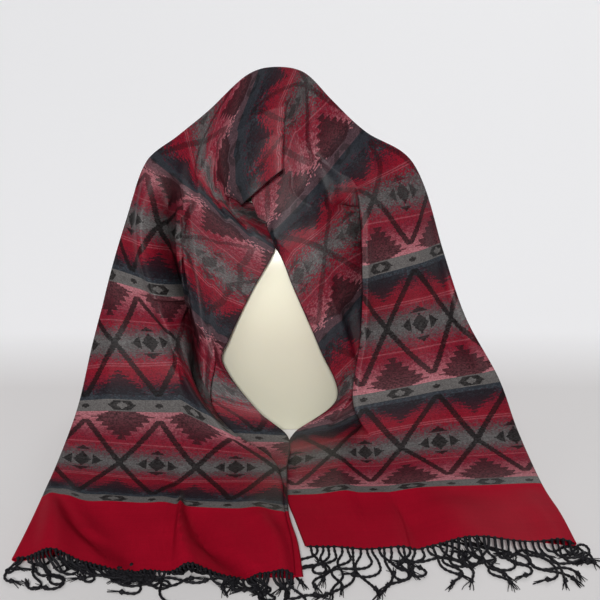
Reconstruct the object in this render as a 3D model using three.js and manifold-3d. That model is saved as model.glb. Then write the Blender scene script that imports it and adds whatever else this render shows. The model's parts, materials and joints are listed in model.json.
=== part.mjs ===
import * as THREE from "three";
import { mergeVertices } from "three/addons/utils/BufferGeometryUtils.js";
import Module from "manifold-3d";

// A fringed shawl laid over the neck of a limbless dress form, with both ends drawn forward on the table.
// Millimetres, +Z up, X to the right, Y away from the front. The form's axis is x = 0, y = 0 while modelling.
// Cloth places are s, the distance from the left hem along the length, and v, which counts the guide lines
// from the front selvedge (0) to the back selvedge (6).

const wasm = await Module();
wasm.setup();

// ---- Driving sizes ----
const clothLength = 1760;
const borderLength = 150;
const wall = 1.1;
const seamGap = 0.4;
const formClearance = 3;
const strandPitch = 10.4;
const strandRadius = 1.15;
const stripWidth = 4;

// ---- Guide lines of the cloth, as a hand would arrange them, each from the left hem to the right hem ----
// Front selvedge, s x y z
const selvedge = [
  [0, 36, -496, 9],
  [70, 30, -426, 12],
  [150, 18, -352, 15],
  [240, 15, -252, 24],
  [330, 15, -150, 22],
  [390, -28, -131, 54],
  [470, -76, -119, 121],
  [510, -67, -117, 152],
  [600, -34, -112, 222],
  [690, -3, -108, 279],
  [722, -4, -106, 291],
  [760, -20, -101, 303],
  [800, -34, -96, 315],
  [840, -46, -90, 330],
  [857, -52, -92, 336],
  [875, -46, -94, 342],
  [910, -22, -91, 364],
  [945, 8, -90, 389],
  [953, 7, -81, 384],
  [966, -10, -74, 370],
  [985, -40, -62, 352],
  [1010, -42, -71, 329],
  [1040, -30, -78, 304],
  [1070, -20, -86, 288],
  [1100, -6, -95, 270],
  [1160, 22, -112, 230],
  [1250, 58, -118, 144],
  [1340, 84, -116, 65],
  [1430, 24, -124, 15],
  [1520, 12, -200, 12],
  [1610, 14, -292, 6],
  [1690, 26, -356, 4],
  [1760, 38, -417, 3.5],
];

// Where the strip along the selvedge turns under (left), or its middle (right), s x y z
const strip = [
  [0, -30, -488, 6],
  [70, -35, -414, 7],
  [150, -42, -332, 9],
  [240, -45, -242, 14],
  [330, -66, -160, 30],
  [390, -94, -136, 68],
  [430, -102, -122, 96],
  [470, -90, -108, 130],
  [510, -80, -113, 157],
  [600, -62, -106, 232],
  [690, -34, -100, 294],
  [722, -38, -93, 306],
  [760, -50, -86, 318],
  [800, -60, -80, 330],
  [840, -66, -70, 346],
  [857, -70, -74, 350],
  [875, -58, -82, 362],
  [910, -24, -84, 390],
  [945, 8, -84, 410],
  [953, 7, -75, 406],
  [966, -10, -68, 392],
  [985, -32, -58, 374],
  [1010, -22, -67, 350],
  [1040, -8, -76, 322],
  [1070, -4, -90, 298],
  [1100, 8, -96, 283],
  [1160, 46, -104, 254],
  [1250, 88, -104, 172],
  [1340, 112, -108, 86],
  [1430, 72, -128, 28],
  [1520, 52, -202, 22],
  [1610, 56, -293, 8],
  [1690, 64, -360, 6],
  [1760, 70, -420, 5],
];

// The edge of the layer that lies on that strip (left), or the bottom of the deep fold (right), s x y z
const foldEdge = [
  [0, 26, -502, 13],
  [70, 22, -432, 17],
  [150, 13, -366, 21],
  [240, 0, -256, 33],
  [330, -62, -203, 57],
  [390, -88, -165, 75],
  [430, -92, -144, 92],
  [470, -86, -121, 128],
  [510, -95, -111, 170],
  [600, -86, -100, 250],
  [690, -66, -86, 314],
  [722, -74, -76, 328],
  [760, -80, -68, 338],
  [800, -82, -62, 350],
  [840, -80, -52, 370],
  [857, -74, -60, 382],
  [875, -62, -68, 396],
  [910, -24, -76, 424],
  [945, 9, -75, 438],
  [953, 8, -66, 437],
  [966, -5, -57, 430],
  [985, -16, -52, 412],
  [1010, 16, -58, 388],
  [1040, 22, -72, 356],
  [1070, 40, -80, 338],
  [1100, 66, -76, 330],
  [1160, 128, -54, 318],
  [1250, 150, -62, 226],
  [1340, 146, -88, 128],
  [1430, 130, -122, 50],
  [1520, 100, -202, 30],
  [1610, 100, -293, 9],
  [1690, 108, -364, 6],
  [1760, 112, -426, 5],
];

// The crease between lapel and outer fall (left), or the front edge of the outer fall (right), s x y z
const crease = [
  [0, -125, -481, 7],
  [70, -120, -412, 12],
  [150, -118, -342, 15],
  [240, -124, -258, 38],
  [330, -134, -168, 84],
  [420, -138, -112, 148],
  [510, -134, -96, 210],
  [600, -132, -82, 288],
  [690, -108, -66, 346],
  [722, -108, -60, 358],
  [760, -106, -52, 372],
  [800, -98, -42, 390],
  [840, -84, -34, 410],
  [857, -74, -44, 420],
  [875, -58, -54, 430],
  [910, -20, -62, 460],
  [945, 10, -60, 469],
  [953, 14, -58, 468],
  [966, 20, -54, 462],
  [985, 22, -47, 450],
  [1010, 30, -46, 426],
  [1040, 54, -52, 398],
  [1070, 82, -54, 378],
  [1100, 104, -58, 366],
  [1160, 114, -76, 336],
  [1250, 118, -102, 242],
  [1340, 116, -120, 160],
  [1430, 106, -152, 74],
  [1520, 136, -206, 34],
  [1610, 150, -290, 9],
  [1690, 160, -360, 6],
  [1760, 165, -424, 5],
];

// The outline: the shoulder ridge, then the outer edge of each fall, s x y z
const outline = [
  [0, -311, -452, 5.5],
  [70, -306, -385, 6.5],
  [150, -301, -305, 9],
  [240, -287, -225, 35],
  [330, -272, -150, 75],
  [420, -258, -90, 136],
  [510, -238, -40, 218],
  [600, -214, -10, 294],
  [690, -184, 2, 377],
  [745, -138, 4, 414],
  [800, -94, 4, 450],
  [850, -50, 4, 492],
  [880, -26, 4, 506],
  [910, 0, 4, 510],
  [940, 26, 4, 507],
  [970, 46, 4, 496],
  [1010, 78, 3, 462],
  [1070, 126, 1, 418],
  [1105, 172, -2, 394],
  [1128, 192, -4, 374],
  [1160, 210, -10, 336],
  [1250, 236, -20, 250],
  [1340, 268, -50, 162],
  [1430, 310, -110, 94],
  [1520, 328, -185, 49],
  [1610, 350, -270, 10],
  [1690, 362, -345, 6.5],
  [1760, 368, -415, 5.5],
];

// Half-way down the back, s x y z
const backMiddle = [
  [0, -210, -424, 2.4],
  [70, -212, -352, 2.4],
  [150, -214, -276, 2.6],
  [240, -226, -186, 6],
  [330, -258, -76, 14],
  [420, -276, -4, 44],
  [510, -270, 44, 92],
  [600, -250, 72, 146],
  [690, -208, 92, 205],
  [745, -165, 100, 226],
  [800, -115, 104, 244],
  [850, -62, 102, 268],
  [910, 0, 98, 290],
  [970, 56, 102, 262],
  [1010, 94, 104, 238],
  [1070, 150, 102, 214],
  [1160, 228, 78, 162],
  [1250, 262, 54, 104],
  [1340, 284, -2, 50],
  [1430, 292, -72, 14],
  [1520, 258, -158, 5],
  [1610, 238, -244, 2.6],
  [1690, 238, -318, 2.4],
  [1760, 240, -384, 2.4],
];

// Back selvedge, s x y z
const backHem = [
  [0, -75, -392, 1.8],
  [70, -92, -322, 1.8],
  [150, -115, -240, 1.8],
  [240, -144, -156, 1.8],
  [330, -176, -72, 1.8],
  [420, -204, 10, 1.8],
  [510, -226, 92, 1.8],
  [600, -214, 168, 1.8],
  [690, -168, 210, 1.8],
  [745, -128, 196, 1.8],
  [800, -92, 158, 4],
  [850, -50, 122, 18],
  [910, 0, 106, 28],
  [970, 50, 120, 18],
  [1010, 86, 150, 5],
  [1070, 136, 190, 1.8],
  [1160, 206, 178, 1.8],
  [1250, 246, 104, 1.8],
  [1340, 226, 22, 1.8],
  [1430, 190, -60, 1.8],
  [1520, 160, -140, 1.8],
  [1610, 132, -222, 1.8],
  [1690, 114, -294, 1.8],
  [1760, 100, -360, 1.8],
];

const guides = [selvedge, strip, foldEdge, crease, outline, backMiddle, backHem];

// Soft folds that run along the length: from s and v, to s and v, height (a trough is negative), width in v
const softFolds = [
  [640, 3.75, 330, 3.1, 9, 0.3],
  [600, 3.4, 380, 2.75, -6, 0.25],
  [470, 3.8, 300, 3.6, 6, 0.25],
  [200, 3.2, 10, 2.85, 5, 0.3],
  [1080, 1.9, 1290, 1.45, -7, 0.3],
  [1010, 3.1, 1120, 2.3, -5, 0.25],
  [1120, 3.5, 1330, 3.65, 6, 0.25],
  [1180, 3.25, 1420, 3.4, -5, 0.22],
  [1400, 3.55, 1640, 3.3, 5, 0.25],
  [1480, 1.6, 1740, 1.9, 5, 0.4],
];

// Flutes down the back and the sides, in each direction from the middle: pitch, greatest height
const flutePitch = 118;
const fluteHeight = 15;
const fluteMiddle = 905;
const flutesBegin = [380, 560];
const flutesEnd = [1230, 1380];
const fluteTop = 4.35;

// Stations across the cloth, closer together where it turns back on itself
const acrossStations = [
  0, 0.33, 0.66, 0.95, 1, 1.05, 1.35, 1.65, 1.95, 2, 2.05, 2.25, 2.5, 2.75, 2.95, 3, 3.05, 3.2, 3.4, 3.6,
  3.8, 3.95, 4, 4.05, 4.12, 4.22, 4.4, 4.7, 5, 5.35, 5.7, 6,
];
// How round the cloth turns over a guide line, and the share of v that the turn takes
const foldRadius = 2.4;
const foldShare = 0.05;

// Steps along the length: from, to, step, finer where the cloth is folded over
const lengthSteps = [
  [0, 300, 40],
  [300, 520, 20],
  [520, 820, 40],
  [820, 930, 10],
  [930, 1000, 5],
  [1000, 1050, 10],
  [1050, 1190, 24],
  [1190, 1760, 40],
];

const outlineGuide = 4;
const lastGuide = guides.length - 1;

// ---- Dress form rings: height, half width, depth in front of the axis, depth behind it ----
const formRings = [
  [0, 118, 84, 76],
  [40, 126, 90, 80],
  [110, 138, 98, 84],
  [190, 150, 103, 86],
  [250, 153, 95, 86],
  [295, 156, 78, 78],
  [328, 152, 62, 68],
  [350, 136, 50, 58],
  [368, 102, 44, 50],
  [388, 70, 41, 44],
  [415, 52, 39, 40],
  [450, 40, 34, 30],
  [474, 33, 27, 22],
  [486, 22, 18, 14],
  [490, 10, 9, 7],
];
const formHeight = formRings[formRings.length - 1][0];
const formSides = 32;
// How square the form's rings are: 2 is an ellipse
const formPower = 2.3;
// Where the form's body ends and its neck begins, and the ring steps of each
const formChest = 300;
const chestStep = 50;
const neckStep = 15;

// Cubic through rows of [s, values...], with slopes taken from the neighbours.
function along(rows, s) {
  let i = 0;
  while (i < rows.length - 2 && s > rows[i + 1][0]) i += 1;
  const a = rows[i];
  const b = rows[i + 1];
  const before = rows[Math.max(i - 1, 0)];
  const after = rows[Math.min(i + 2, rows.length - 1)];
  const step = b[0] - a[0];
  const t = (s - a[0]) / step;
  const t2 = t * t;
  const t3 = t2 * t;
  const out = [];
  for (let k = 1; k < a.length; k += 1) {
    const slopeA = (b[k] - before[k]) / (b[0] - before[0]);
    const slopeB = (after[k] - a[k]) / (after[0] - a[0]);
    out.push(
      (2 * t3 - 3 * t2 + 1) * a[k] +
        (t3 - 2 * t2 + t) * step * slopeA +
        (3 * t2 - 2 * t3) * b[k] +
        (t3 - t2) * step * slopeB,
    );
  }
  return out;
}

// Reach of the form from its axis at a height, towards an angle; zero above its top.
function formReach(z, angle) {
  if (z > formHeight) return 0;
  const [width, front, back] = along(formRings, Math.max(z, 0));
  const c = Math.cos(angle);
  const d = Math.sin(angle);
  const depth = d < 0 ? front : back;
  const across = Math.pow(Math.abs(c) / width, formPower);
  const through = Math.pow(Math.abs(d) / depth, formPower);
  return Math.pow(across + through, -1 / formPower);
}

function smooth(from, to, value) {
  const t = Math.min(Math.max((value - from) / (to - from), 0), 1);
  return t * t * (3 - 2 * t);
}

// Height of the soft folds at a place of the cloth.
function foldHeight(s, v) {
  let height = 0;
  for (const [sFrom, vFrom, sTo, vTo, top, width] of softFolds) {
    const t = (s - sFrom) / (sTo - sFrom);
    if (t <= 0 || t >= 1) continue;
    const offset = (v - vFrom - (vTo - vFrom) * t) / width;
    height += top * Math.exp(-offset * offset) * Math.sin(Math.PI * t);
  }
  return height;
}

// Height of the flutes, which open from the shoulders down to the back selvedge.
function fluteAt(s, v) {
  const opening = smooth(fluteTop, lastGuide, v);
  const stretch = smooth(...flutesBegin, s) * (1 - smooth(...flutesEnd, s));
  return fluteHeight * opening * stretch * Math.cos((2 * Math.PI * (s - fluteMiddle)) / flutePitch);
}

// A point of the smooth surface through the guide lines. Each guide between the selvedges is given a neighbour
// on both sides, so that the cloth turns over it with a round edge and runs straight through where it is open.
function guidePoint(s, v) {
  const lines = guides.map((rows) => new THREE.Vector3(...along(rows, s)));
  const ahead = guides.map((rows) => new THREE.Vector3(...along(rows, s + 1)));
  const points = [lines[0]];
  const places = [0];
  for (let i = 1; i < lastGuide; i += 1) {
    const tangent = ahead[i].sub(lines[i]).normalize();
    const before = lines[i - 1].clone().sub(lines[i]).projectOnPlane(tangent).normalize();
    const after = lines[i + 1].clone().sub(lines[i]).projectOnPlane(tangent).normalize();
    const inward = before.clone().add(after).multiplyScalar(foldRadius / 2);
    const sideways = before.sub(after).normalize().multiplyScalar(foldRadius);
    const middle = lines[i].clone().add(inward);
    points.push(middle.clone().add(sideways), lines[i], middle.sub(sideways));
    places.push(i - foldShare, i, i + foldShare);
  }
  points.push(lines[lastGuide]);
  places.push(lastGuide);
  const curve = new THREE.CatmullRomCurve3(points, false, "centripetal");
  let k = 0;
  while (k < places.length - 2 && v > places[k + 1]) k += 1;
  const fraction = (v - places[k]) / (places[k + 1] - places[k]);
  return curve.getPoint((k + fraction) / (points.length - 1));
}

// A point of the cloth's middle surface, folded, and kept clear of the form.
function clothPoint(s, v) {
  const p = guidePoint(s, v);
  const height = foldHeight(s, v);
  const flute = fluteAt(s, v);
  if (height !== 0 || flute !== 0) {
    const normal = normalOf(guidePoint, s, v);
    p.addScaledVector(normal, height);
    const level = new THREE.Vector3(normal.x, normal.y, 0).normalize();
    p.addScaledVector(level, flute);
  }
  const angle = Math.atan2(p.y, p.x);
  const reach = formReach(p.z, angle) + formClearance + wall / 2;
  const far = Math.hypot(p.x, p.y);
  if (far < reach && reach > formClearance + wall) {
    p.x *= reach / far;
    p.y *= reach / far;
  }
  return p;
}

// Outward normal of a surface given as a function of s and v.
function normalOf(surface, s, v) {
  const ds = 2;
  const dv = 0.02;
  const s0 = Math.max(s - ds, 0);
  const s1 = Math.min(s + ds, clothLength);
  const v0 = Math.max(v - dv, 0);
  const v1 = Math.min(v + dv, lastGuide);
  const alongS = surface(s1, v).sub(surface(s0, v));
  const alongV = surface(s, v1).sub(surface(s, v0));
  return alongS.cross(alongV).normalize();
}

// A closed wall over the cells between the given s and v stations. At a seam both pieces share one normal.
function wallGeometry(sStations, vStations, sSeams) {
  const across = vStations.length;
  const positions = [];
  const faces = [];
  for (const side of [0.5, -0.5]) {
    for (const s of sStations) {
      const seam = sSeams.find((value) => Math.abs(value - s) < seamGap);
      for (const v of vStations) {
        const normal = normalOf(clothPoint, seam ?? s, v);
        const p = clothPoint(s, v).addScaledVector(normal, side * wall);
        positions.push(p.x, p.y, p.z);
      }
    }
  }
  const layer = sStations.length * across;
  const quad = (a, b, c, d) => faces.push(a, b, c, a, c, d);
  for (let i = 0; i < sStations.length - 1; i += 1) {
    for (let j = 0; j < across - 1; j += 1) {
      const a = i * across + j;
      const b = a + across;
      quad(a, b, b + 1, a + 1);
      quad(layer + a, layer + a + 1, layer + b + 1, layer + b);
    }
  }
  for (let i = 0; i < sStations.length - 1; i += 1) {
    const a = i * across;
    const b = a + across;
    quad(a, layer + a, layer + b, b);
    const c = a + across - 1;
    const d = b + across - 1;
    quad(c, d, layer + d, layer + c);
  }
  for (let j = 0; j < across - 1; j += 1) {
    quad(j, j + 1, layer + j + 1, layer + j);
    const a = (sStations.length - 1) * across + j;
    quad(a, layer + a, layer + a + 1, a + 1);
  }
  const geometry = new THREE.BufferGeometry();
  geometry.setAttribute("position", new THREE.Float32BufferAttribute(positions, 3));
  geometry.setIndex(faces);
  geometry.computeVertexNormals();
  return geometry;
}

// Stations from one value to another, no further apart than the step.
function stations(from, to, step) {
  const count = Math.max(1, Math.round((to - from) / step));
  return Array.from({ length: count + 1 }, (_, i) => from + ((to - from) * i) / count);
}

// Stations of a stretch of length, with the seams at its ends.
function lengthStations(from, to) {
  const places = [from];
  for (const [start, end, step] of lengthSteps) {
    for (const s of stations(start, end, step)) {
      const last = places[places.length - 1];
      if (s > last + step / 2 && s < to - step / 2) places.push(s);
    }
  }
  places.push(to);
  return places;
}

const clothColours = {
  woven: 0x6b2a38,
  border: 0xa81830,
  fringe: 0x151417,
  form: 0xe9e2c4,
};

function material(colour, roughness, metalness = 0) {
  return new THREE.MeshStandardMaterial({ color: colour, roughness, metalness });
}

function clothMesh(name, sFrom, sTo, vFrom, vTo, colour) {
  const half = seamGap / 2;
  const vGap = 0.002;
  const sStations = lengthStations(
    sFrom === 0 ? 0 : sFrom + half,
    sTo === clothLength ? sTo : sTo - half,
  );
  const vStations = acrossStations
    .filter((v) => v >= vFrom && v <= vTo)
    .map((v) => THREE.MathUtils.clamp(v, vFrom === 0 ? 0 : vFrom + vGap, vTo === lastGuide ? vTo : vTo - vGap));
  const mesh = new THREE.Mesh(wallGeometry(sStations, vStations, [sFrom, sTo]), material(colour, 0.62));
  mesh.name = name;
  return mesh;
}

function formMesh() {
  const heights = stations(0, formChest, chestStep).concat(stations(formChest, formHeight, neckStep).slice(1));
  const positions = [];
  const faces = [];
  for (const z of heights) {
    for (let k = 0; k < formSides; k += 1) {
      const angle = (2 * Math.PI * k) / formSides;
      const reach = formReach(z, angle);
      positions.push(reach * Math.cos(angle), reach * Math.sin(angle), z);
    }
  }
  const bottom = heights.length * formSides;
  positions.push(0, 0, 0, 0, 0, formHeight);
  for (let i = 0; i < heights.length - 1; i += 1) {
    for (let k = 0; k < formSides; k += 1) {
      const a = i * formSides + k;
      const b = i * formSides + ((k + 1) % formSides);
      faces.push(a, b, b + formSides, a, b + formSides, a + formSides);
    }
  }
  const top = (heights.length - 1) * formSides;
  for (let k = 0; k < formSides; k += 1) {
    const next = (k + 1) % formSides;
    faces.push(bottom, next, k, bottom + 1, top + k, top + next);
  }
  const geometry = new THREE.BufferGeometry();
  geometry.setAttribute("position", new THREE.Float32BufferAttribute(positions, 3));
  geometry.setIndex(faces);
  geometry.computeVertexNormals();
  const mesh = new THREE.Mesh(geometry, material(clothColours.form, 0.28));
  mesh.name = "dress_form";
  return mesh;
}

// ---- Fringe ----
// Each row of fringe: hem s, way out (-1 beyond the left hem, 1 beyond the right), v from and to, bend and
// wave in degrees, length
const fringeRows = [
  { name: "left_fringe", s: 0, out: -1, vFrom: 2.05, vTo: 3.88, bend: 52, wave: 22, length: 92 },
  { name: "left_under_fringe", s: 0, out: -1, vFrom: 4.75, vTo: 5.97, bend: 64, wave: 6, length: 62 },
  { name: "right_fringe", s: clothLength, out: 1, vFrom: 0.03, vTo: 3.88, bend: 16, wave: 30, length: 92 },
  { name: "right_under_fringe", s: clothLength, out: 1, vFrom: 4.75, vTo: 5.97, bend: 64, wave: 6, length: 62 },
];
const strandSides = 3;
const strandSteps = 3;
const strandFloor = 1.75;
// How far back from the hem its direction is taken
const hemReach = 6;
// Share of a strand in which it comes down to the table, and its sway: turns along it and from one to the next
const landing = 0.45;
const swayTurns = 1.1;
const swayShift = 0.011;
// First and last strand from the ends of the strip, in v, and the step used to measure the hem
const stripMargin = 0.02;
const measureStep = 0.01;

// A place beyond the hem, in the cloth's own surface.
function beyondHem(row, v, distance) {
  const edge = clothPoint(row.s, v);
  const inner = clothPoint(row.s - row.out * hemReach, v);
  const way = edge.clone().sub(inner).normalize();
  return edge.addScaledVector(way, distance);
}

function manifoldOf(positions, faces) {
  const raw = new THREE.BufferGeometry();
  raw.setAttribute("position", new THREE.Float32BufferAttribute(positions, 3));
  raw.setIndex(faces);
  const merged = mergeVertices(raw, 1e-4);
  const mesh = new wasm.Mesh({
    numProp: 3,
    vertProperties: merged.attributes.position.array,
    triVerts: new Uint32Array(merged.index.array),
  });
  return new wasm.Manifold(mesh);
}

// A closed tube with flat ends through points, each with its own ring of corners.
function ringSolid(rings) {
  const sides = rings[0].length;
  const positions = rings.flat().flatMap((p) => [p.x, p.y, p.z]);
  const faces = [];
  for (let i = 0; i < rings.length - 1; i += 1) {
    for (let k = 0; k < sides; k += 1) {
      const a = i * sides + k;
      const b = i * sides + ((k + 1) % sides);
      faces.push(a, b, b + sides, a, b + sides, a + sides);
    }
  }
  const last = (rings.length - 1) * sides;
  for (let k = 1; k < sides - 1; k += 1) {
    faces.push(0, k + 1, k, last, last + k, last + k + 1);
  }
  const solid = manifoldOf(positions, faces);
  return solid.volume() < 0 ? manifoldOf(positions, faces.reverse()) : solid;
}

// The narrow strip that holds the roots, just beyond the hem.
function backingStrip(row) {
  const half = wall / 2;
  const inside = acrossStations.filter((v) => v > row.vFrom && v < row.vTo);
  const rings = [row.vFrom, ...inside, row.vTo].map((v) => {
    const near = beyondHem(row, v, seamGap);
    const far = beyondHem(row, v, seamGap + stripWidth);
    const up = new THREE.Vector3(0, 0, half);
    return [near.clone().sub(up), far.clone().sub(up), far.clone().add(up), near.clone().add(up)];
  });
  return ringSolid(rings);
}

// One strand: it leaves the strip straight, comes down to the table and turns aside as it lies.
function strandSolid(row, v, index) {
  const points = [];
  const start = beyondHem(row, v, seamGap + stripWidth / 2);
  let x = start.x;
  let y = start.y;
  const step = row.length / strandSteps;
  for (let i = 0; i <= strandSteps; i += 1) {
    const t = i / strandSteps;
    const z = strandFloor + (start.z - strandFloor) * Math.pow(1 - Math.min(t / landing, 1), 2);
    points.push(new THREE.Vector3(x, y, Math.max(z, strandFloor)));
    const sway = row.wave * Math.sin(2 * Math.PI * (t * swayTurns + index * swayShift));
    const turn = THREE.MathUtils.degToRad(row.bend * smooth(0, 0.5, t) + sway * smooth(0, 0.25, t));
    x += step * Math.sin(turn) * (row.out < 0 ? -1 : 1);
    y -= step * Math.cos(turn);
  }
  const rings = points.map((p, i) => {
    const before = points[Math.max(i - 1, 0)];
    const after = points[Math.min(i + 1, points.length - 1)];
    const way = after.clone().sub(before).setZ(0).normalize();
    const side = new THREE.Vector3(-way.y, way.x, 0);
    return Array.from({ length: strandSides }, (_, k) => {
      const angle = Math.PI / 2 + (2 * Math.PI * k) / strandSides;
      return p
        .clone()
        .addScaledVector(side, strandRadius * Math.cos(angle))
        .add(new THREE.Vector3(0, 0, strandRadius * Math.sin(angle)));
    });
  });
  return ringSolid(rings);
}

// v stations along a hem at an even pitch in millimetres.
function evenPlaces(row, pitch) {
  const fine = stations(row.vFrom + stripMargin, row.vTo - stripMargin, measureStep);
  const places = [];
  let walked = pitch;
  let last = clothPoint(row.s, fine[0]);
  for (const v of fine) {
    const p = clothPoint(row.s, v);
    walked += p.distanceTo(last);
    last = p;
    if (walked >= pitch) {
      places.push(v);
      walked = 0;
    }
  }
  return places;
}

function fringeMesh(row) {
  let solid = backingStrip(row);
  evenPlaces(row, strandPitch).forEach((v, index) => {
    solid = solid.add(strandSolid(row, v, index));
  });
  const made = solid.getMesh();
  const geometry = new THREE.BufferGeometry();
  geometry.setAttribute("position", new THREE.BufferAttribute(Float32Array.from(made.vertProperties), 3));
  geometry.setIndex(Array.from(made.triVerts));
  geometry.computeVertexNormals();
  const mesh = new THREE.Mesh(geometry, material(clothColours.fringe, 0.8));
  mesh.name = row.name;
  return mesh;
}

const shoulderLeft = 690;
const shoulderRight = 1115;
const group = new THREE.Group();
group.add(
  formMesh(),
  clothMesh("left_border", 0, borderLength, 0, lastGuide, clothColours.border),
  clothMesh("left_fall", borderLength, shoulderLeft, 0, lastGuide, clothColours.woven),
  clothMesh("neck_and_shoulders", shoulderLeft, shoulderRight, 0, outlineGuide, clothColours.woven),
  clothMesh("back_panel", shoulderLeft, shoulderRight, outlineGuide, lastGuide, clothColours.woven),
  clothMesh("right_fall", shoulderRight, clothLength - borderLength, 0, lastGuide, clothColours.woven),
  clothMesh("right_border", clothLength - borderLength, clothLength, 0, lastGuide, clothColours.border),
  ...fringeRows.map(fringeMesh),
);

// The part's origin is the middle of its footprint, on the table.
const reach = new THREE.Box3().setFromObject(group);
group.position.set(-(reach.min.x + reach.max.x) / 2, -(reach.min.y + reach.max.y) / 2, 0);

export default group;
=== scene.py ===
# A pashmina shawl laid over the neck of a limbless dress form, both ends drawn forward on the table.
# The tables below are in millimetres from the form's axis, and the scene is in metres.
import json
import math

import bpy
import numpy as np
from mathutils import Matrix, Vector


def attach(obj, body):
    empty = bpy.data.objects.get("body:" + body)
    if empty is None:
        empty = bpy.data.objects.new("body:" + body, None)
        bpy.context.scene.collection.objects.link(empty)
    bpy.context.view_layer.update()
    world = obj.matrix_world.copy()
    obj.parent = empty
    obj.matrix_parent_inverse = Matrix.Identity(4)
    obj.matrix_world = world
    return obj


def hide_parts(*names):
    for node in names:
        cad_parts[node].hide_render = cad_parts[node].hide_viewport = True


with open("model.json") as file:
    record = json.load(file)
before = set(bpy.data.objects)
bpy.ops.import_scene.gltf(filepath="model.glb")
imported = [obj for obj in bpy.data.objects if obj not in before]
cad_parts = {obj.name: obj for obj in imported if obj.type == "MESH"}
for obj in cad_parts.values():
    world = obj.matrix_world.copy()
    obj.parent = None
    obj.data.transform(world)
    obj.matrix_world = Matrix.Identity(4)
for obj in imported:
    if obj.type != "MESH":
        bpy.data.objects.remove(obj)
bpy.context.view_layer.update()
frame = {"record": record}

restMount = next(m for m in frame["record"]["mounts"] if m["name"] == "rest")
axisX, axisY = restMount["pos_m"][:2]
mm = 0.001


def toScene(points):
    # form millimetres to scene metres
    return np.asarray(points, float) * mm + np.array([axisX, axisY, 0.0])


def unit(a):
    return a / np.maximum(np.linalg.norm(a, axis=-1, keepdims=True), 1e-9)


def smooth(low, high, value):
    t = np.clip((value - low) / (high - low), 0, 1)
    return t * t * (3 - 2 * t)


# The cloth: s runs along its length from the left hem, v counts the guide lines from the front selvedge.
cloth = {
    "length": 1760, "border": 150, "wall": 1.0,
    "formGap": 3.55,  # the middle of the wall from the form
    "foldRadius": 2.4, "foldShare": 0.05,  # where it turns over a guide: millimetres, and share of v
    "normalReach": (2, 0.02),  # in s and v, to each side
    "darkAt": 20,  # depth of a fold that gets the full painted shade
    "creaseEnds": 0.8,  # under 1, a crease keeps its height nearer to its ends
    "neckMiddle": 900, "blurNeck": (620, 720, 1120, 1200), "blurLapels": (330, 400, 1400, 1500),
    "leftLapel": (2.9, 3.1), "rightLapel": (1.9, 2.2), "foldTakes": (1.6, 3.0),  # from v to v
    "sStep": 5.0, "sNeckStep": 2.5, "neck": (930, 1010),
    "vColumns": (14, 12, 20, 34, 12, 22, 24), "vSplit": 4.3,
    "lowest": ((3.9, 4.6), (3.4, 1.6)),  # v, and the least height over the table there
}

# front selvedge: s x y z
selvedge = [
    (0, 36, -496, 9), (70, 30, -426, 12), (150, 18, -352, 15), (240, 15, -252, 24),
    (330, 15, -150, 22), (390, -28, -131, 54), (470, -76, -119, 121), (510, -67, -117, 152),
    (600, -34, -112, 222), (690, -3, -108, 279), (722, -4, -106, 291), (760, -12, -88, 305),
    (800, -16, -69, 320), (840, -30, -69, 335), (857, -44, -78, 339), (875, -46, -94, 342),
    (910, -22, -91, 364), (945, 8, -90, 389), (953, 7, -81, 384), (966, -10, -74, 370),
    (985, -34, -64, 352), (1010, -30, -74, 329), (1040, -19, -80, 304), (1070, -9, -87, 288),
    (1100, 5, -96, 270), (1160, 22, -112, 230), (1250, 58, -118, 144), (1340, 84, -116, 65),
    (1430, 24, -124, 15), (1520, 12, -200, 12), (1610, 14, -292, 6), (1690, 26, -356, 4),
    (1760, 38, -417, 3.5),
]

# where the strip along the selvedge turns under, on the right its middle
strip = [
    (0, -30, -488, 6), (70, -35, -414, 7), (150, -42, -332, 9), (240, -45, -242, 14),
    (330, -66, -160, 30), (390, -94, -136, 68), (430, -102, -122, 96), (470, -90, -108, 130),
    (510, -80, -113, 157), (600, -62, -106, 232), (690, -34, -100, 294), (722, -38, -93, 306),
    (760, -50, -86, 318), (800, -60, -80, 330), (840, -66, -70, 346), (857, -70, -74, 350),
    (875, -58, -82, 362), (910, -24, -84, 390), (945, 8, -84, 410), (953, 7, -75, 406),
    (966, -10, -68, 392), (985, -32, -58, 374), (1010, -22, -67, 350), (1040, -8, -76, 322),
    (1070, -4, -90, 298), (1100, 8, -96, 283), (1160, 46, -104, 254), (1250, 88, -104, 172),
    (1340, 112, -108, 86), (1430, 72, -128, 28), (1520, 52, -202, 22), (1610, 56, -293, 8),
    (1690, 64, -360, 6), (1760, 70, -420, 5),
]

# edge of the layer that lies on that strip, on the right the bottom of the deep fold
foldEdge = [
    (0, 26, -502, 13), (70, 22, -432, 17), (150, 13, -366, 21), (240, 0, -256, 33),
    (330, -62, -203, 57), (390, -88, -165, 75), (430, -92, -144, 92), (470, -86, -121, 128),
    (510, -95, -111, 170), (600, -86, -100, 250), (690, -66, -86, 314), (722, -74, -76, 328),
    (760, -80, -68, 338), (800, -82, -62, 350), (840, -80, -52, 370), (857, -74, -60, 382),
    (875, -62, -68, 396), (910, -24, -76, 424), (945, 9, -75, 438), (953, 8, -66, 437),
    (966, -5, -57, 430), (985, -16, -52, 412), (1010, 16, -58, 388), (1040, 22, -72, 356),
    (1070, 40, -80, 338), (1100, 66, -76, 330), (1160, 128, -54, 318), (1250, 150, -62, 226),
    (1340, 146, -88, 128), (1430, 130, -122, 50), (1520, 100, -202, 30), (1610, 100, -293, 9),
    (1690, 108, -364, 6), (1760, 112, -426, 5),
]

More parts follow.
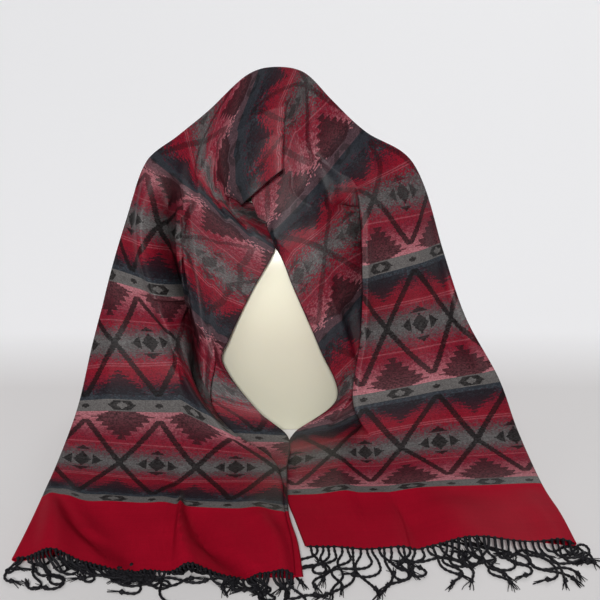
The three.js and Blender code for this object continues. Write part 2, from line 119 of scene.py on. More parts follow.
# between lapel and outer fall, on the right the front edge of the outer fall
crease = [
    (0, -125, -481, 7), (70, -120, -412, 12), (150, -118, -342, 15), (240, -124, -258, 38),
    (330, -134, -168, 84), (420, -138, -112, 148), (510, -134, -96, 210), (600, -132, -82, 288),
    (690, -108, -66, 346), (722, -108, -60, 358), (760, -106, -52, 372), (800, -98, -42, 390),
    (840, -84, -34, 410), (857, -74, -44, 420), (875, -58, -54, 430), (910, -20, -62, 460),
    (945, 10, -60, 469), (953, 14, -58, 468), (966, 20, -54, 462), (985, 22, -47, 450),
    (1010, 30, -46, 426), (1040, 54, -52, 398), (1070, 82, -54, 378), (1100, 104, -58, 366),
    (1160, 114, -76, 336), (1250, 118, -102, 242), (1340, 116, -120, 160), (1430, 106, -152, 74),
    (1520, 136, -206, 34), (1610, 150, -290, 9), (1690, 160, -360, 6), (1760, 165, -424, 5),
]

# the shoulder ridge, then the outer edge of each fall
outline = [
    (0, -311, -452, 5.5), (70, -306, -385, 6.5), (150, -301, -305, 9), (240, -287, -225, 35),
    (330, -272, -150, 75), (420, -258, -90, 136), (510, -238, -40, 218), (600, -214, -10, 294),
    (690, -184, 2, 377), (745, -138, 4, 414), (800, -94, 4, 450), (850, -50, 4, 492),
    (880, -26, 4, 506), (910, 0, 4, 510), (940, 26, 4, 507), (970, 46, 4, 496), (1010, 78, 3, 462),
    (1070, 126, 1, 418), (1105, 172, -2, 394), (1128, 192, -4, 374), (1160, 210, -10, 336),
    (1250, 236, -20, 250), (1340, 268, -50, 162), (1430, 310, -110, 94), (1520, 328, -185, 49),
    (1610, 350, -270, 10), (1690, 362, -345, 6.5), (1760, 368, -415, 5.5),
]

# half-way down the back
backMiddle = [
    (0, -210, -424, 2.4), (70, -212, -352, 2.4), (150, -214, -276, 2.6), (240, -226, -186, 6),
    (330, -258, -76, 14), (420, -276, -4, 44), (510, -270, 44, 92), (600, -250, 72, 146),
    (690, -208, 92, 205), (745, -165, 100, 226), (800, -115, 104, 244), (850, -62, 102, 268),
    (910, 0, 98, 290), (970, 56, 102, 262), (1010, 94, 104, 238), (1070, 150, 102, 214),
    (1160, 228, 78, 162), (1250, 262, 54, 104), (1340, 284, -2, 50), (1430, 292, -72, 14),
    (1520, 258, -158, 5), (1610, 238, -244, 2.6), (1690, 238, -318, 2.4), (1760, 240, -384, 2.4),
]

# back selvedge
backHem = [
    (0, -75, -392, 1.8), (70, -92, -322, 1.8), (150, -115, -240, 1.8), (240, -144, -156, 1.8),
    (330, -176, -72, 1.8), (420, -204, 10, 1.8), (510, -226, 92, 1.8), (600, -214, 168, 1.8),
    (690, -168, 210, 1.8), (745, -128, 196, 1.8), (800, -92, 158, 4), (850, -50, 122, 18),
    (910, 0, 106, 28), (970, 50, 120, 18), (1010, 86, 150, 5), (1070, 136, 190, 1.8),
    (1160, 206, 178, 1.8), (1250, 246, 104, 1.8), (1340, 226, 22, 1.8), (1430, 190, -60, 1.8),
    (1520, 160, -140, 1.8), (1610, 132, -222, 1.8), (1690, 114, -294, 1.8), (1760, 100, -360, 1.8),
]

# soft folds: from s and v, to s and v, height, width in v
softFolds = [
    (640, 3.75, 330, 3.1, 9, 0.3), (600, 3.4, 380, 2.75, -6, 0.25), (470, 3.8, 300, 3.6, 6, 0.25),
    (200, 3.2, 10, 2.85, 5, 0.3), (1080, 1.9, 1290, 1.45, -7, 0.3),
    (1010, 3.1, 1120, 2.3, -5, 0.25), (1120, 3.5, 1330, 3.65, 6, 0.25),
    (1180, 3.25, 1420, 3.4, -5, 0.22), (1400, 3.55, 1640, 3.3, 5, 0.25),
    (1480, 1.6, 1740, 1.9, 5, 0.4),
]

# rings of the dress form: height, half width, depth in front, depth behind
formRings = [
    (0, 118, 84, 76), (40, 126, 90, 80), (110, 138, 98, 84), (190, 150, 103, 86),
    (250, 153, 95, 86), (295, 156, 78, 78), (328, 152, 62, 68), (350, 136, 50, 58),
    (368, 102, 44, 50), (388, 70, 41, 44), (415, 52, 39, 40), (450, 40, 34, 30), (474, 33, 27, 22),
    (486, 22, 18, 14), (490, 10, 9, 7),
]
dressForm = {
    "power": 2.3, "sides": 96, "rim": 4.0, "sharp": 40,
    "blank": 0.1,  # metres, before its rings are laid to their outlines
    "heights": [0, 0.6, 1.6, 3, 5, 12, 25, 45, 70, 95, 120, 145, 170, 195, 215, 235, 252, 266, 280, 293,
                305, 316, 326, 335, 343, 350, 357, 364, 371, 379, 388, 398, 410, 424, 438, 450, 460, 469,
                476, 481, 485, 488, 489.5],
}

guides = [np.array(rows, float) for rows in
          (selvedge, strip, foldEdge, crease, outline, backMiddle, backHem)]
lastGuide = len(guides) - 1

# flutes that open down the back: pitch, height, middle, and where they begin and end
flutes = {
    "pitch": 118, "height": 15, "middle": 905, "begin": (380, 560), "end": (1230, 1380), "top": 4.35,
}

# listed creases: places (s, v) in order of s, height and half width in millimetres
creases = [
    # the glossy ridge of the left fall, the trough beside it and the long crease towards the lapel
    ([(300, 2.3), (330, 2.41), (360, 2.68), (405, 3.04), (525, 3.37), (625, 3.66), (700, 3.8)], 19, 12),
    ([(360, 2.1), (425, 2.5), (465, 2.8), (525, 3.16), (565, 3.36), (650, 3.5), (700, 3.56)], -44, 15),
    ([(400, 2.2), (475, 2.4), (530, 2.59), (600, 2.81), (680, 3.29), (740, 3.5)], 13, 8),
    ([(420, 2.3), (530, 2.75), (600, 3.02), (690, 3.42)], -15, 9),
    ([(300, 3.6), (420, 3.7), (560, 3.85)], 4, 12),
    # left border and hem, which lie in ripples
    ([(-90, 3.66), (0, 3.66), (80, 3.72), (190, 3.82)], 18, 18),
    ([(-70, 3.36), (20, 3.36), (90, 3.5), (190, 3.7)], -7, 15),
    ([(-80, 2.68), (0, 2.72), (80, 2.9), (190, 3.06)], 15, 14),
    ([(-60, 2.4), (40, 2.56), (150, 2.8)], -7, 12),
    ([(-50, 2.14), (60, 2.22), (180, 2.36)], 9, 12),
    ([(60, 3.15), (150, 3.22), (260, 3.28)], 4, 16),
    ([(-80, 3.05), (10, 3.35), (80, 3.62), (190, 3.86)], -9, 9),
    ([(-60, 2.3), (10, 2.44), (60, 2.68), (140, 2.86)], -9, 8),
    # the neck and the right shoulder
    ([(955, 3.7), (1000, 3.5), (1045, 2.97), (1090, 2.6)], -4, 5),
    ([(1000, 3.8), (1060, 3.55), (1130, 3.42), (1220, 3.3)], 4, 12),
    ([(1040, 2.75), (1090, 2.45), (1150, 1.75), (1240, 1.3), (1330, 1.1)], -11, 10),
    ([(1050, 2.2), (1130, 1.35), (1240, 0.95), (1330, 0.8)], 5, 12),
    ([(1120, 3.22), (1220, 3.12), (1330, 3.1), (1450, 3.08)], 4, 8),
    ([(1150, 3.7), (1260, 3.62), (1400, 3.56), (1500, 3.5)], 4, 13),
    ([(1200, 3.86), (1320, 3.84), (1450, 3.8)], -4, 11),
    ([(1130, 1.62), (1220, 1.72), (1330, 1.76), (1430, 1.8)], -24, 12),
    # right border and hem
    ([(1600, 3.3), (1680, 3.38), (1760, 3.42), (1850, 3.44)], 13, 30),
    ([(1640, 3.06), (1700, 3.1), (1760, 3.1), (1850, 3.1)], -4, 16),
    ([(1590, 2.6), (1680, 2.66), (1760, 2.7), (1850, 2.7)], 3, 16),
    ([(1620, 3.76), (1700, 3.78), (1840, 3.8)], 4, 16),
    # behind
    ([(700, 4.6), (760, 5.2), (800, 5.9)], -5, 14),
    ([(1010, 4.5), (1060, 5.1), (1110, 5.9)], -5, 14),
]
# painted shade on cloth that lies deep between two layers: places (s, v), share of a deep fold's painted
# shade, half width in millimetres
paintedShadeStrips = [
    ([(1090, 2.95), (1150, 2.75), (1200, 2.3), (1250, 1.95), (1330, 1.85), (1430, 1.85), (1540, 1.9)],
     1.0, 17),
    ([(700, 0.3), (760, 0.35), (850, 0.3), (905, 0.2)], 0.9, 34),
    ([(330, 1.9), (390, 2.05), (450, 2.55), (520, 2.95)], 0.6, 14),
]
# where the outline lies in the width of the cloth, and how far the weave runs ahead of s: s, millimetres
outlinePlace = [
    (0, 390), (150, 375), (225, 360), (300, 343), (410, 315), (530, 262), (600, 238), (680, 238),
    (750, 218), (830, 205), (910, 190), (970, 186), (1045, 216), (1125, 258), (1220, 282), (1335, 297),
    (1420, 312), (1535, 335), (1610, 343), (1760, 345),
]
weaveAhead = [
    (0, 0), (150, 0), (228, 21), (322, 16), (515, 4), (1240, -4), (1335, -3), (1427, -6), (1532, -19),
    (1610, 0), (1760, 0),
]


def along(rows, s):
    # cubic through a table's rows, slopes taken from the neighbours
    i = np.searchsorted(rows[1:-1, 0], s, side="left")
    a, b = rows[i], rows[i + 1]
    before, after = rows[np.maximum(i - 1, 0)], rows[np.minimum(i + 2, len(rows) - 1)]
    step = (b[:, 0] - a[:, 0])[:, None]
    t = (s - a[:, 0])[:, None] / step
    slopeA = (b - before) / (b[:, :1] - before[:, :1])
    slopeB = (after - a) / (after[:, :1] - a[:, :1])
    t2, t3 = t * t, t * t * t
    value = ((2 * t3 - 3 * t2 + 1) * a + (t3 - 2 * t2 + t) * step * slopeA
             + (3 * t2 - 2 * t3) * b + (t3 - t2) * step * slopeB)
    return value[:, 1:]


def formReach(z, angle):
    # how far the form reaches from its axis at a height, towards an angle
    shape = np.shape(z)
    ring = along(np.array(formRings, float), np.clip(z, 0, formRings[-1][0]).ravel())
    width, front, back = (ring[:, k].reshape(shape) for k in range(3))
    c, d = np.cos(angle), np.sin(angle)
    depth = np.where(d < 0, front, back)
    power = dressForm["power"]
    reach = ((np.abs(c) / width) ** power + (np.abs(d) / depth) ** power) ** (-1 / power)
    return np.where(z > formRings[-1][0], 0.0, reach)


def guideGrid(s, v):
    # the smooth surface through the guides, turned over each of them with a round edge
    lines = np.array([along(rows, s) for rows in guides])
    ahead = np.array([along(rows, s + 1) for rows in guides])
    knots, places = [lines[0]], [0.0]
    for i in range(1, lastGuide):
        tangent = unit(ahead[i] - lines[i])

        def level(a):
            return unit(a - tangent * np.sum(a * tangent, axis=1, keepdims=True))

        before, after = level(lines[i - 1] - lines[i]), level(lines[i + 1] - lines[i])
        sideways = unit(before - after) * cloth["foldRadius"]
        middle = lines[i] + (before + after) * (cloth["foldRadius"] / 2)
        knots += [middle + sideways, lines[i], middle - sideways]
        places += [i - cloth["foldShare"], i, i + cloth["foldShare"]]
    knots.append(lines[-1])
    places = np.array(places + [float(lastGuide)])
    first, last = 2 * knots[0] - knots[1], 2 * knots[-1] - knots[-2]
    knots = np.array([first] + knots + [last])
    k = np.searchsorted(places[1:-1], v, side="left")
    f = ((v - places[k]) / (places[k + 1] - places[k]))[None, :, None]
    p0, p1, p2, p3 = (np.moveaxis(knots[k + j], 0, 1) for j in range(4))

    def gap(a, b):
        return np.sum((a - b) ** 2, axis=2, keepdims=True) ** 0.25

    d1 = gap(p1, p2)
    d1 = np.where(d1 < 1e-4, 1.0, d1)
    d0, d2 = gap(p0, p1), gap(p2, p3)
    d0, d2 = np.where(d0 < 1e-4, d1, d0), np.where(d2 < 1e-4, d1, d2)
    t1 = ((p1 - p0) / d0 - (p2 - p0) / (d0 + d1) + (p2 - p1) / d1) * d1
    t2 = ((p2 - p1) / d1 - (p3 - p1) / (d1 + d2) + (p3 - p2) / d2) * d1
    return p1 + t1 * f + (-3 * p1 + 3 * p2 - 2 * t1 - t2) * f ** 2 + (2 * p1 - 2 * p2 + t1 + t2) * f ** 3


def normalGrid(surface, s, v):
    ds, dv = cloth["normalReach"]
    s0, s1 = np.maximum(s - ds, 0), np.minimum(s + ds, cloth["length"])
    v0, v1 = np.maximum(v - dv, 0), np.minimum(v + dv, lastGuide)
    return unit(np.cross(surface(s1, v) - surface(s0, v), surface(s, v1) - surface(s, v0)))


def foldGrid(s, v):
    s, v = s[:, None], v[None, :]
    height = np.zeros((s.shape[0], v.shape[1]))
    for sFrom, vFrom, sTo, vTo, top, width in softFolds:
        t = (s - sFrom) / (sTo - sFrom)
        offset = (v - vFrom - (vTo - vFrom) * t) / width
        swell = top * np.exp(-offset ** 2) * np.sin(np.pi * np.clip(t, 0, 1))
        height += np.where((t > 0) & (t < 1), swell, 0)
    return height + creaseGrid(creases, s, v)


def creaseGrid(rows, s, v):
    # each row rises along its path and falls away on both sides of it
    height = np.zeros((s.shape[0], v.shape[1]))
    lines = np.array([along(guide, s[:, 0]) for guide in guides])
    chords = np.linalg.norm(np.diff(lines, axis=0), axis=2)  # millimetres from one guide to the next
    for path, top, width in rows:
        places, turns = np.array(path, float).T
        t = np.clip((s - places[0]) / (places[-1] - places[0]), 0, 1)
        at = np.interp(s[:, 0], places, turns)
        size = chords[at.astype(int), np.arange(len(at))]
        offset = (v - at[:, None]) * size[:, None] / width
        height += top * np.exp(-offset ** 2) * np.sin(np.pi * t) ** cloth["creaseEnds"]
    return height


def fluteGrid(s, v):
    s, v = s[:, None], v[None, :]
    opening = smooth(flutes["top"], lastGuide, v)
    stretch = smooth(*flutes["begin"], s) * (1 - smooth(*flutes["end"], s))
    turn = 2 * np.pi * (s - flutes["middle"]) / flutes["pitch"]
    return flutes["height"] * opening * stretch * np.cos(turn)


def clothGrid(s, v):
    # folded, fluted, and kept clear of the form
    p = guideGrid(s, v)
    n = normalGrid(guideGrid, s, v)
    p = p + n * foldGrid(s, v)[:, :, None]
    p = p + unit(n * np.array([1.0, 1.0, 0.0])) * fluteGrid(s, v)[:, :, None]
    reach = formReach(p[:, :, 2], np.arctan2(p[:, :, 1], p[:, :, 0]))
    far = np.hypot(p[:, :, 0], p[:, :, 1])
    wanted = reach + cloth["formGap"]
    pushed = np.where((far < wanted) & (reach > 1), wanted / np.maximum(far, 1e-6), 1.0)
    p[:, :, :2] *= pushed[:, :, None]
    p[:, :, 2] = np.maximum(p[:, :, 2], np.interp(v, *cloth["lowest"])[None, :])
    return p


def steps(low, high, step):
    return list(np.linspace(low, high, int(round((high - low) / step)) + 1)[:-1])


def lengthStations():
    low, high = cloth["neck"]
    s = steps(0, low, cloth["sStep"]) + steps(low, high, cloth["sNeckStep"])
    return np.array(s + steps(high, cloth["length"], cloth["sStep"]) + [cloth["length"]])


def acrossStations():
    # closer together where the cloth turns back on itself
    share = cloth["foldShare"]
    marks, bends = [0, 1, 2, 3, 4, cloth["vSplit"], 5, lastGuide], range(1, lastGuide)
    v = []
    for i, count in enumerate(cloth["vColumns"]):
        low, high = marks[i], marks[i + 1]
        turns = [low + share * f for f in (0, 1 / 3, 2 / 3)] if low in bends else []
        start = low + share if turns else low
        ends = [high - share * f for f in (1, 2 / 3, 1 / 3)] if high in bends else []
        stop = high - share if ends else high
        v += turns + list(np.linspace(start, stop, count + 1)[:-1]) + ends
    return np.array(sorted(set(np.round(v + [float(lastGuide)], 5))))


def makeShell(name, points, normals, uvs, wall):
    # a closed thin wall on a grid of points, with one UV place on both faces
    rows, columns = points.shape[:2]
    top = (points + normals * wall / 2).reshape(-1, 3)
    under = (points - normals * wall / 2).reshape(-1, 3)
    i, j = np.meshgrid(np.arange(rows - 1), np.arange(columns - 1), indexing="ij")
    a = (i * columns + j).ravel()
    b, layer = a + columns, rows * columns
    faces = [np.stack([a, b, b + 1, a + 1], 1), np.stack([a, a + 1, b + 1, b], 1) + layer]
    r = np.arange(rows - 1) * columns
    faces.append(np.stack([r, r + layer, r + columns + layer, r + columns], 1))
    r = r + columns - 1
    faces.append(np.stack([r, r + columns, r + columns + layer, r + layer], 1))
    c = np.arange(columns - 1)
    faces.append(np.stack([c, c + 1, c + 1 + layer, c + layer], 1))
    c = c + (rows - 1) * columns
    faces.append(np.stack([c, c + layer, c + 1 + layer, c + 1], 1))
    quads = np.concatenate(faces)
    return makeMesh(name, toScene(np.concatenate([top, under])), quads, np.concatenate([uvs, uvs]))


def makeMesh(name, vertices, polygons, uvs, sharpAngle=50):
    mesh = bpy.data.meshes.new(name)
    mesh.from_pydata(np.asarray(vertices).tolist(), [], [list(map(int, f)) for f in polygons])
    layer = mesh.uv_layers.new(name="weave")
    corner = np.empty(len(mesh.loops), dtype=np.int32)
    mesh.loops.foreach_get("vertex_index", corner)
    layer.uv.foreach_set("vector", np.asarray(uvs, np.float32)[corner].ravel())
    mesh.update()
    mesh.validate()
    obj = bpy.data.objects.new(name, mesh)
    bpy.context.scene.collection.objects.link(obj)
    mesh.shade_smooth()
    bpy.ops.object.select_all(action="DESELECT")
    obj.select_set(True)
    bpy.context.view_layer.objects.active = obj
    bpy.ops.object.shade_smooth_by_angle(angle=math.radians(sharpAngle))
    return obj


print("cloth: surface")
sAll, vAll = lengthStations(), acrossStations()
pointsAll = clothGrid(sAll, vAll)
normalsAll = normalGrid(clothGrid, sAll, vAll)
runs = np.linalg.norm(np.diff(pointsAll, axis=1), axis=2)
acrossAll = np.concatenate([np.zeros((len(sAll), 1)), np.cumsum(runs, axis=1)], axis=1)
print("  arc across, least and most mm:", acrossAll[:, -1].min().round(), acrossAll[:, -1].max().round())
edgeAll = np.minimum(acrossAll, acrossAll[:, -1:] - acrossAll)  # millimetres from the nearest selvedge
# painted shade: share of the way down a deep fold, plus the painted shade strips above, by which the cloth is
# darkened
paintedShadeAll = np.clip(np.clip(-foldGrid(sAll, vAll) / cloth["darkAt"], 0, 1)
                    + creaseGrid(paintedShadeStrips, sAll[:, None], vAll[None, :]), 0, 1)
# share in which the figure of the weave runs together: round the neck, and on both lapels
isLeft = sAll < cloth["neckMiddle"]
neck, lapels = cloth["blurNeck"], cloth["blurLapels"]
neckPart = smooth(neck[0], neck[1], sAll) * (1 - smooth(neck[2], neck[3], sAll))
leftPart = smooth(lapels[0], lapels[1], sAll) * isLeft
leftLapel = leftPart[:, None] * (1 - smooth(*cloth["leftLapel"], vAll))[None, :]
rightPart = ~isLeft * (1 - smooth(lapels[2], lapels[3], sAll))
rightLapel = rightPart[:, None] * (1 - smooth(*cloth["rightLapel"], vAll))[None, :]
blurAll = np.maximum(np.maximum(neckPart[:, None], leftLapel), rightLapel)
outlineColumn = int(np.argmin(np.abs(vAll - 4)))
shift = np.interp(sAll, *np.array(outlinePlace, float).T) - acrossAll[:, outlineColumn]
# on the right the difference is taken up in the deep fold
taken = np.where(isLeft[:, None], 1.0, smooth(*cloth["foldTakes"], vAll)[None, :])
acrossAll = acrossAll + shift[:, None] * taken
alongAll = sAll + np.interp(sAll, *np.array(weaveAhead, float).T)


def stretch(name, sFrom, sTo, vFrom, vTo):
    slack = 1e-4
    rows = np.where((sAll >= sFrom - slack) & (sAll <= sTo + slack))[0]
    columns = np.where((vAll >= vFrom - slack) & (vAll <= vTo + slack))[0]
    pick = np.ix_(rows, columns)
    uvs = np.stack([np.repeat(alongAll[rows], len(columns)) * mm, acrossAll[pick].ravel() * mm], 1)
    obj = makeShell(name, pointsAll[pick], normalsAll[pick], uvs, cloth["wall"])
    # the painted shade of folds goes to the materials as an attribute, beside the selvedge distance and the
    # blur
    for attribute, grid in (("selvedge", edgeAll), ("paintedShade", paintedShadeAll), ("blurred", blurAll)):
        layer = obj.data.attributes.new(attribute, "FLOAT", "POINT")
        layer.data.foreach_set("value", np.tile(grid[pick].ravel(), 2).astype(np.float32))
    print("  ", name, len(obj.data.polygons) * 2, "triangles")
    return obj


border, length = cloth["border"], cloth["length"]
fieldFront = stretch("wovenFieldFront", border, length - border, 0, cloth["vSplit"])
fieldBack = stretch("wovenFieldBack", border, length - border, cloth["vSplit"], lastGuide)
leftBorder = stretch("leftBorderCloth", 0, border, 0, lastGuide)
rightBorder = stretch("rightBorderCloth", length - border, length, 0, lastGuide)


def makeForm():
    # a ring on the table, extruded upwards, then each ring laid to its outline
    facts = dressForm
    bpy.ops.object.select_all(action="DESELECT")
    bpy.ops.mesh.primitive_circle_add(vertices=facts["sides"], radius=facts["blank"], fill_type="NGON",
                                      location=(0, 0, 0))
    form = bpy.context.object
    form.name = form.data.name = "dressFormShell"
    heights, rim = facts["heights"], facts["rim"]
    bpy.ops.object.mode_set(mode="EDIT")
    bpy.ops.mesh.select_all(action="SELECT")
    for low, high in zip(heights[:-1], heights[1:]):
        bpy.ops.mesh.extrude_region_move(TRANSFORM_OT_translate={"value": (0, 0, (high - low) * mm)})
    bpy.ops.object.mode_set(mode="OBJECT")
    for vertex in form.data.vertices:
        z = vertex.co.z / mm
        angle = math.atan2(vertex.co.y, vertex.co.x)
        reach = float(formReach(np.array([z]), np.array([angle]))[0])
        if z < rim:  # the foot is rounded
            reach -= rim - math.sqrt(rim * rim - (rim - z) ** 2)
        vertex.co.x = reach * mm * math.cos(angle) + axisX
        vertex.co.y = reach * mm * math.sin(angle) + axisY
    bpy.ops.object.mode_set(mode="EDIT")
    bpy.ops.mesh.select_all(action="SELECT")
    bpy.ops.mesh.normals_make_consistent(inside=False)
    bpy.ops.object.mode_set(mode="OBJECT")
    bpy.ops.object.shade_smooth_by_angle(angle=math.radians(facts["sharp"]))
    return form


print("dress form")
form = makeForm()


fringe = {
    "radius": 1.6, "underRadius": 1.05, "sides": 6, "step": 2.4,
    "ply": 7.5, "plyDepth": 0.24, "knotPly": 5,  # length of one turn of the twist, and its relief
    "hemThread": 0.9, "hemSides": 5, "hemPly": 4,  # the thread whipped along the hem
    "rootKnot": 2.5, "endKnot": 3.1, "landing": 26, "lift": (0.3, 3.4),
    "tuft": (12, 19), "hairs": 7, "hair": 0.85, "fan": 0.2,
    "reach": 382, "tuftReach": 396,  # furthest to the right of the axis
}
# Each row: the hem's s, the way out, and v from and to. Its lie, from v low to high: up to v, bend and
# spread in degrees, shortest, longest, share that curls.
fringeRows = [
    {"name": "leftFringe", "node": "left_fringe", "s": 0, "out": -1, "v": (2.05, 3.9),
     "lie": [(2.32, -20, 14, 60, 84, 0.3), (2.62, -40, 50, 26, 44, 0.8), (2.95, -158, 8, 26, 40, 0.0),
             (3.25, -30, 36, 56, 84, 0.9), (3.82, -76, 26, 46, 84, 0.6), (3.9, 40, 30, 46, 60, 1.0)],
     "pitch": 5.6, "wave": 52, "turn": 0.1, "seed": 11, "low": False},
    {"name": "leftUnderFringe", "node": "left_under_fringe", "s": 0, "out": -1, "v": (4.78, 5.95),
     "lie": [(6, 58, 8, 56, 70, 0.0)],
     "pitch": 8.0, "wave": 8, "turn": 0.5, "seed": 12, "low": True},
    {"name": "rightFringe", "node": "right_fringe", "s": 1760, "out": 1, "v": (0.06, 3.9),
     "lie": [(0.9, -14, 16, 80, 112, 0.3), (1.6, -24, 12, 92, 122, 0.1), (3.0, 2, 28, 74, 112, 0.5),
             (3.5, 8, 34, 60, 96, 0.6), (3.9, 62, 26, 76, 104, 0.5)],
     "pitch": 7.6, "wave": 44, "turn": 0.3, "seed": 13, "low": False},
    {"name": "rightUnderFringe", "node": "right_under_fringe", "s": 1760, "out": 1, "v": (4.78, 5.95),
     "lie": [(6, 58, 8, 56, 70, 0.0)],
     "pitch": 8.0, "wave": 8, "turn": 0.5, "seed": 14, "low": True},
]


class Yarn:
    # gathers the faces of one row of fringe
    def __init__(self):
        self.vertices, self.faces, self.uvs = [], [], []
        self.count = 0

    def add(self, points, faces, uvs):
        self.vertices.append(points)
        self.uvs.append(uvs)
        self.faces += [[i + self.count for i in f] for f in faces]
        self.count += len(points)


def addTube(yarn, path, radii, sides, ply=None):
    # rings of corners along a path, closed at both ends; ply turns a two-strand twist along it
    path = np.asarray(path, float)
    count = len(path)
    tangent = unit(np.gradient(path, axis=0))
    side = unit(np.cross(tangent, np.array([0.0, 0.0, 1.0])) + np.array([1e-6, 0, 0]))
    up = np.cross(side, tangent)
    walked = np.concatenate([[0], np.cumsum(np.linalg.norm(np.diff(path, axis=0), axis=1))])
    angle = 2 * np.pi * np.arange(sides)[None, :] / sides
    radius = np.broadcast_to(np.asarray(radii, float).reshape(-1, 1), (count, sides))
    if ply:
        turns = angle - 2 * np.pi * walked[:, None] / ply
        radius = radius * (1 + fringe["plyDepth"] * np.cos(2 * turns))
    ring = (side[:, None, :] * (radius * np.cos(angle))[:, :, None]
            + up[:, None, :] * (radius * np.sin(angle))[:, :, None])
    tips = (path[:1] - tangent[:1] * radius[0, 0] / 2, path[-1:] + tangent[-1:] * radius[-1, 0] / 2)
    points = np.concatenate([(path[:, None, :] + ring).reshape(-1, 3), *tips])
    faces = []
    for i in range(count - 1):
        for k in range(sides):
            a, b = i * sides + k, i * sides + (k + 1) % sides
            faces.append((a, b, b + sides, a + sides))
    last = (count - 1) * sides
    for k in range(sides):
        n = (k + 1) % sides
        faces.append((count * sides, n, k))
        faces.append((count * sides + 1, last + k, last + n))
    girth = 8 * mm
    uvs = np.stack([np.repeat(walked, sides) * mm, np.tile(np.arange(sides) / sides, count) * girth], 1)
    yarn.add(points, faces, np.concatenate([uvs, uvs[:1], uvs[-1:]]))


def addKnot(yarn, centre, way, reach, thick):
    # an oval knot: five rings along the strand
    t = np.linspace(-0.86, 0.86, 5)
    path = centre + np.outer(t, way) * reach
    addTube(yarn, path, thick * np.sqrt(1 - t ** 2), fringe["sides"], ply=fringe["knotPly"])


def hemGrid(row, v, distance):
    # places beyond the hem, in the cloth's own surface
    s = float(row["s"])
    edge = clothGrid(np.array([s]), v)[0]
    inner = clothGrid(np.array([s - row["out"] * 6.0]), v)[0]
    way = unit(edge - inner)
    return edge + way * distance, way


def strandPath(row, v, start, way, rng):
    # it leaves the hem straight, comes down to the table and turns aside as it lies
    _, bend, spread, shortest, longest, curls = next(lie for lie in row["lie"] if v <= lie[0])
    length = rng.uniform(shortest, longest)
    count = int(length / fringe["step"])
    t = np.linspace(0, 1, count)
    bend += rng.normal(0, spread)
    phase, turns = rng.uniform(0, 2 * np.pi), rng.uniform(0.7, 1.5)
    wave = row["wave"] * rng.uniform(0.5, 1.2) * np.sin(phase + 2 * np.pi * turns * t)
    curl = 0.0
    if rng.random() < curls:
        curl = rng.choice([-1, 1]) * rng.uniform(90, 250)
    heading = bend * smooth(0, row["turn"], t) + wave * smooth(0, 0.2, t) + curl * smooth(0.35, 1, t)
    heading = np.radians(heading) + math.atan2(way[0], -way[1]) * (1 - smooth(0, 0.16, t))
    step = length / (count - 1)
    x = start[0] + np.concatenate([[0], np.cumsum(np.sin(heading[:-1]) * step * row["out"])])
    y = start[1] - np.concatenate([[0], np.cumsum(np.cos(heading[:-1]) * step)])
    if x.max() > fringe["reach"]:
        x = start[0] + (x - start[0]) * (fringe["reach"] - start[0]) / (x.max() - start[0])
    floor = fringe["radius"] + 0.1
    drop = np.clip(t * length / fringe["landing"], 0, 1)
    z = floor + max(start[2] - floor, 0) * (1 - drop) ** 2
    if not row["low"]:
        lift = rng.uniform(*fringe["lift"]) * (bend > -110)  # those turned under stay flat
        hump = np.sin(2 * np.pi * (rng.uniform(0.5, 1.4) * t + rng.random()))
        z = z + lift * np.clip(hump, 0, 1) * drop * (1 - t) ** 0.3
    return np.stack([x, y, z], 1)


def makeFringe(row):
    rng = np.random.default_rng(row["seed"])
    fine = np.linspace(row["v"][0], row["v"][1], 400)
    places, _ = hemGrid(row, fine, 0.0)
    walked = np.concatenate([[0], np.cumsum(np.linalg.norm(np.diff(places, axis=0), axis=1))])
    count = int(walked[-1] / row["pitch"])
    spots = (np.arange(count) + 0.5 + rng.uniform(-0.16, 0.16, count)) * walked[-1] / count
    v = np.interp(spots, walked, fine)
    roots, ways = hemGrid(row, v, 1.2)
    yarn = Yarn()
    edge, _ = hemGrid(row, np.linspace(row["v"][0], row["v"][1], 160), 0.9)
    addTube(yarn, edge, fringe["hemThread"], fringe["hemSides"], ply=fringe["hemPly"])
    for place, root, way in zip(v, roots, ways):
        path = strandPath(row, place, root, way, rng)
        radius = fringe["underRadius"] if row["low"] else fringe["radius"]
        addTube(yarn, path, radius, fringe["sides"], ply=fringe["ply"])
        if row["low"]:
            continue
        knot = fringe["rootKnot"]
        addKnot(yarn, path[0] + way * 0.8, way, knot * 1.2, knot * rng.uniform(0.8, 1.05))
        knot = fringe["endKnot"]
        end, last = path[-1], unit(path[-1] - path[-3])
        end = np.array([end[0], end[1], max(end[2], knot * 0.9)])
        addKnot(yarn, end, last, knot * 1.25, knot)
        for _ in range(fringe["hairs"]):
            reach = rng.uniform(*fringe["tuft"])
            turn = math.atan2(last[1], last[0]) + rng.normal(0, fringe["fan"])
            t = np.linspace(0, 1, 4)
            x = end[0] + reach * t * math.cos(turn) + 2 * np.sin(t * 2) * rng.normal(0, 1)
            x = np.minimum(x, fringe["tuftReach"])
            y = end[1] + reach * t * math.sin(turn)
            z = end[2] * (1 - t) + 0.6
            addTube(yarn, np.stack([x, y, z], 1), fringe["hair"] * (1 - 0.5 * t), 3)
    obj = makeMesh(row["name"], toScene(np.concatenate(yarn.vertices)), yarn.faces,
                   np.concatenate(yarn.uvs), sharpAngle=80)
    triangles = sum(len(f.vertices) - 2 for f in obj.data.polygons)
    print("  ", row["name"], count, "strands,", triangles, "triangles")
    return obj


print("fringe")
fringes = {row["name"]: makeFringe(row) for row in fringeRows}


def linear(red, green, blue):
    # a screen colour, 0 to 255, as the linear colour a shader wants
    def one(c):
        c /= 255
        return c / 12.92 if c <= 0.04045 else ((c + 0.055) / 1.055) ** 2.4

    return (one(red), one(green), one(blue), 1.0)


def feed(tree, slot, value):
    # a slot takes a link or a plain value
    value = getattr(value, "socket", value)
    if isinstance(value, bpy.types.NodeSocket):
        tree.links.new(value, slot)
    else:
        slot.default_value = value


